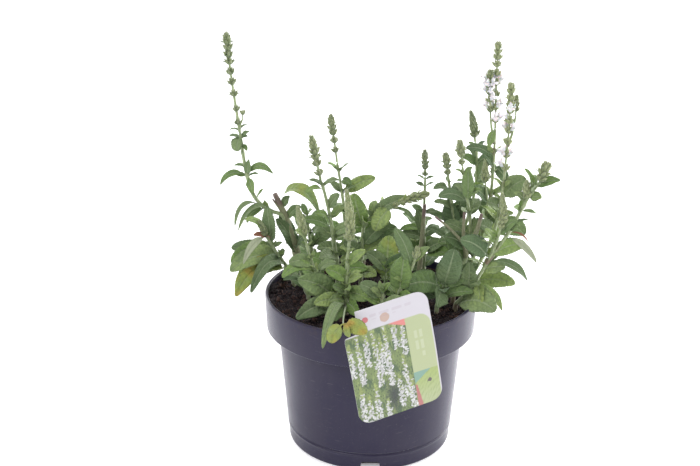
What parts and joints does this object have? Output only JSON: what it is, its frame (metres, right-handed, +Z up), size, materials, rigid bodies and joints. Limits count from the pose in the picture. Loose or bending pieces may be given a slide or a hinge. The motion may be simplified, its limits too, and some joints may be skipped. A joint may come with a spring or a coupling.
{
  "type": "potted salvia",
  "caption": "White-flowered salvia with tall flower spikes and low crinkled leaves, growing in soil in a round dark plastic nursery pot, with a printed care label hung on the rim",
  "frame": {"origin": "centre of the pot's flat base, on the surface it stands on", "axes": "+Z up along the pot's axis, -Y towards the side that the care label hangs on, +X to the right seen from that side"},
  "size_m": [0.2747, 0.2226, 0.372],
  "materials": {
    "pot": "moulded dark blue-grey plastic with a soft sheen",
    "soil": "dark moist potting soil with reddish-brown fibres",
    "care_label": "thin printed plastic card, pale green and white",
    "stem": "fresh green square stem with small crinkled leaves",
    "leaf": "matt grey-green crinkled leaf with a pale midrib",
    "flower_spike": "green calyx whorls, with small white flowers on two spikes",
    "old_wood": "dry brown cut-back stem"
  },
  "bodies": {
    "root": {"care_label": "care_label", "leaf_centre_gold": "leaf", "leaf_centre_lying": "leaf", "leaf_front_low": "leaf", "leaf_front_standing": "leaf", "leaf_left_arching": "leaf", "leaf_left_broad": "leaf", "leaf_left_pale": "leaf", "leaf_left_round": "leaf", "leaf_left_upright": "leaf", "leaf_over_rim": "leaf", "leaf_right_bright": "leaf", "leaf_right_broad": "leaf", "leaf_right_drooping": "leaf", "leaf_right_low": "leaf", "leaf_right_rim": "leaf", "leaf_right_upright": "leaf", "pot": "pot", "soil": "soil", "spike_far_right": "flower_spike", "spike_front_bud": "flower_spike", "spike_leaning": "flower_spike", "spike_left_front": "flower_spike", "spike_left_low": "flower_spike", "spike_left_tall": "flower_spike", "spike_middle_back": "flower_spike", "spike_middle_front": "flower_spike", "spike_middle_left": "flower_spike", "spike_right_back": "flower_spike", "spike_right_front": "flower_spike", "spike_right_inner": "flower_spike", "spike_right_second": "flower_spike", "spike_right_third": "flower_spike", "spike_white_front": "flower_spike", "spike_white_tall": "flower_spike", "stem_back_left": "stem", "stem_back_middle": "stem", "stem_back_right": "stem", "stem_centre_low": "stem", "stem_front_bud": "stem", "stem_front_small": "stem", "stem_leaning": "stem", "stem_left_crown": "stem", "stem_left_front": "stem", "stem_left_low": "stem", "stem_left_tall": "stem", "stem_middle_back": "stem", "stem_middle_front": "stem", "stem_middle_left": "stem", "stem_right_back": "stem", "stem_right_crown": "stem", "stem_right_front": "stem", "stem_right_inner": "stem", "stem_right_second": "stem", "stem_right_third": "stem", "stem_white_front": "stem", "stem_white_tall": "stem", "stump_old": "old_wood"}
  },
  "joints": []
}
